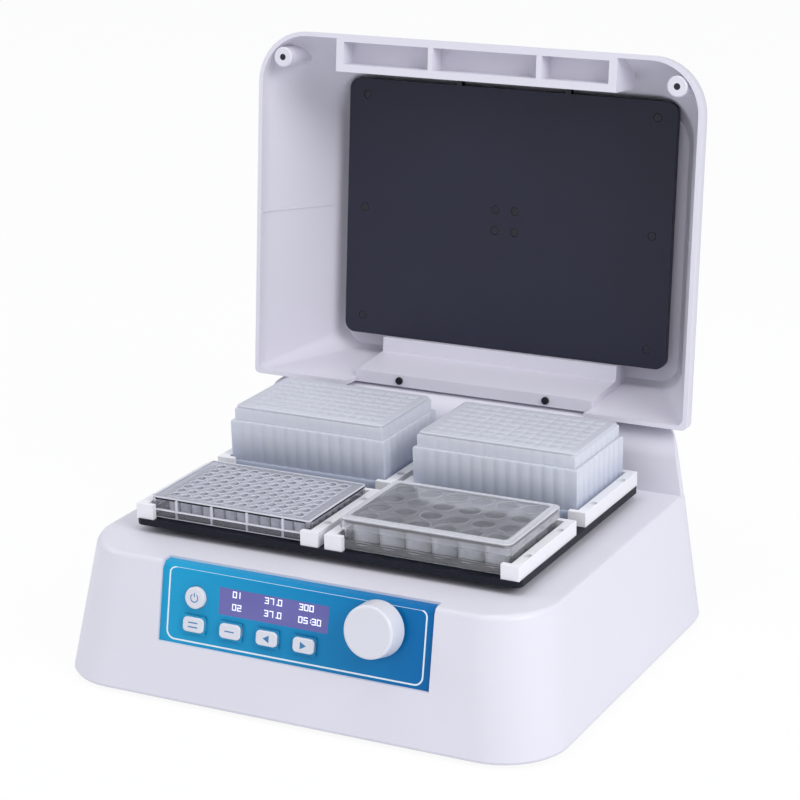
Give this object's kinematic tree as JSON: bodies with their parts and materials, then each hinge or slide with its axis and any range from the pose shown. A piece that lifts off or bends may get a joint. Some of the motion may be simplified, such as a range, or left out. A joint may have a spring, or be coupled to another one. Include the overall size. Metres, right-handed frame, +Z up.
{
  "type": "microplate shaker incubator",
  "caption": "Bench incubator with a heated hinged lid, an orbital shaking tray between white rails for microplates, and a sloped front panel with display, keys and knob.",
  "frame": {"origin": "floor under the feet, at the centre of the outline with the lid open", "axes": "+X to the right seen from the front, +Y to the rear, +Z up"},
  "size_m": [0.372, 0.3866, 0.4084],
  "materials": {
    "housing": "fine moulded texture",
    "steel": "satin",
    "zinc": "zinc plated",
    "aluminium": "machined",
    "black_anodised": "satin black",
    "dark_metal": "matt navy black coat",
    "rubber": "matt",
    "panel": "printed polyester",
    "window": "tinted",
    "module": "moulded",
    "board": "solder mask",
    "black_plastic": "moulded",
    "white_plastic": "satin",
    "rail_white": "satin",
    "clear": "clear polystyrene",
    "frosted": "translucent polypropylene",
    "silicone": "translucent silicone",
    "heater_film": "polyimide film",
    "foam": "felted fibre",
    "brass": "plain"
  },
  "bodies": {
    "base": {"casing": "housing", "bottom_plate": "zinc", "feet": "rubber", "base_screws": "steel", "panel_sheet": "panel", "display_window": "window", "display_module": "module", "control_board": "board", "key_switches": "black_plastic", "encoder_body": "zinc", "drive_plate": "aluminium", "standoffs": "brass", "motor": "black_anodised", "motor_screws": "steel", "idler_bearings": "steel", "hinge_pins": "steel", "power_board": "board", "mains_inlet": "black_plastic", "rocker_frame": "black_plastic"},
    "lid": {"lid_shell": "housing", "lid_heater": "dark_metal", "lid_insulation": "foam", "lid_screws": "steel", "lid_bumpers": "white_plastic", "hinge_cover": "housing", "hinge_arms": "housing"},
    "crank": {"crank_hub": "steel"},
    "shaker": {"tray": "black_anodised", "crank_bearing": "steel", "heater_mat": "heater_film", "tray_pads": "black_anodised", "rail_screws": "steel", "rail_fl_left": "rail_white", "rail_fl_right": "rail_white", "rail_fr_left": "rail_white", "rail_fr_right": "rail_white", "rail_rl_left": "rail_white", "rail_rl_right": "rail_white", "rail_rr_left": "rail_white", "rail_rr_right": "rail_white"},
    "idler_1": {"idler_fl": "steel"},
    "idler_2": {"idler_fr": "steel"},
    "idler_3": {"idler_rl": "steel"},
    "idler_4": {"idler_rr": "steel"},
    "microplate_96": {"plate_96": "clear"},
    "microplate_24": {"plate_24": "clear"},
    "microplate_24_cover": {"plate_24_lid": "clear"},
    "deep_well_left": {"deep_left": "frosted", "mat_left": "silicone"},
    "deep_well_right": {"deep_right": "frosted", "mat_right": "silicone"},
    "power_key": {"key_round": "white_plastic"},
    "menu_key": {"key_menu": "white_plastic"},
    "set_key": {"key_set": "white_plastic"},
    "down_key": {"key_left": "white_plastic"},
    "up_key": {"key_right": "white_plastic"},
    "selector_shaft": {"encoder_shaft": "steel"},
    "selector_knob": {"knob": "white_plastic"},
    "fuse_holder": {"fuse_drawer": "black_plastic"},
    "power_rocker": {"rocker": "black_plastic"}
  },
  "joints": [
    {"name": "lid_hinge", "type": "hinge", "parent": "base", "child": "lid", "pos_m": [0, 0.1137, 0.1232], "axis": [-1, 0, 0], "range_deg": [-95.2, 0]},
    {"name": "crank_spin", "type": "hinge", "parent": "base", "child": "crank", "pos_m": [0, -0.0273, 0.07], "axis": [0, 0, 1], "continuous": true},
    {"name": "shaker_orbit", "type": "hinge", "parent": "crank", "child": "shaker", "pos_m": [0.0015, -0.0273, 0.09], "axis": [0, 0, 1], "continuous": true},
    {"name": "idler_1_spin", "type": "hinge", "parent": "base", "child": "idler_1", "pos_m": [-0.112, -0.0993, 0.07], "axis": [0, 0, 1], "continuous": true},
    {"name": "idler_2_spin", "type": "hinge", "parent": "base", "child": "idler_2", "pos_m": [0.112, -0.0993, 0.07], "axis": [0, 0, 1], "continuous": true},
    {"name": "idler_3_spin", "type": "hinge", "parent": "base", "child": "idler_3", "pos_m": [-0.112, 0.0447, 0.07], "axis": [0, 0, 1], "continuous": true},
    {"name": "idler_4_spin", "type": "hinge", "parent": "base", "child": "idler_4", "pos_m": [0.112, 0.0447, 0.07], "axis": [0, 0, 1], "continuous": true},
    {"name": "microplate_96_lift", "type": "slide", "parent": "shaker", "child": "microplate_96", "axis": [0, 0, 1], "range_m": [0, 0.12]},
    {"name": "microplate_24_lift", "type": "slide", "parent": "shaker", "child": "microplate_24", "axis": [0, 0, 1], "range_m": [0, 0.12]},
    {"name": "deep_well_left_lift", "type": "slide", "parent": "shaker", "child": "deep_well_left", "axis": [0, 0, 1], "range_m": [0, 0.12]},
    {"name": "deep_well_right_lift", "type": "slide", "parent": "shaker", "child": "deep_well_right", "axis": [0, 0, 1], "range_m": [0, 0.12]},
    {"name": "cover_lift", "type": "slide", "parent": "microplate_24", "child": "microplate_24_cover", "axis": [0, 0, 1], "range_m": [0, 0.06]},
    {"name": "power_key_press", "type": "slide", "parent": "base", "child": "power_key", "axis": [0, -0.9822, 0.1881], "range_m": [-0.0005, 0], "stiffness_N_per_m": 600, "springref_m": 0.0006},
    {"name": "menu_key_press", "type": "slide", "parent": "base", "child": "menu_key", "axis": [0, -0.9822, 0.1881], "range_m": [-0.0005, 0], "stiffness_N_per_m": 600, "springref_m": 0.0006},
    {"name": "set_key_press", "type": "slide", "parent": "base", "child": "set_key", "axis": [0, -0.9822, 0.1881], "range_m": [-0.0005, 0], "stiffness_N_per_m": 600, "springref_m": 0.0006},
    {"name": "down_key_press", "type": "slide", "parent": "base", "child": "down_key", "axis": [0, -0.9822, 0.1881], "range_m": [-0.0005, 0], "stiffness_N_per_m": 600, "springref_m": 0.0006},
    {"name": "up_key_press", "type": "slide", "parent": "base", "child": "up_key", "axis": [0, -0.9822, 0.1881], "range_m": [-0.0005, 0], "stiffness_N_per_m": 600, "springref_m": 0.0006},
    {"name": "selector_press", "type": "slide", "parent": "base", "child": "selector_shaft", "axis": [0, -0.9822, 0.1881], "range_m": [-0.0005, 0], "stiffness_N_per_m": 1200, "springref_m": 0.0006},
    {"name": "selector_turn", "type": "hinge", "parent": "selector_shaft", "child": "selector_knob", "pos_m": [0.066, -0.17297, 0.07783], "axis": [0, -0.9822, 0.1881], "continuous": true},
    {"name": "fuse_slide", "type": "slide", "parent": "base", "child": "fuse_holder", "axis": [0, 1, 0], "range_m": [0, 0.02]},
    {"name": "rocker_tilt", "type": "hinge", "parent": "base", "child": "power_rocker", "pos_m": [-0.081, 0.1227, 0.0355], "axis": [1, 0, 0], "range_deg": [-16, 0]}
  ],
  "couplings": [
    {"joint": "shaker_orbit", "follows": "crank_spin", "ratio": -1},
    {"joint": "idler_1_spin", "follows": "crank_spin", "ratio": 1},
    {"joint": "idler_2_spin", "follows": "crank_spin", "ratio": 1},
    {"joint": "idler_3_spin", "follows": "crank_spin", "ratio": 1},
    {"joint": "idler_4_spin", "follows": "crank_spin", "ratio": 1}
  ]
}
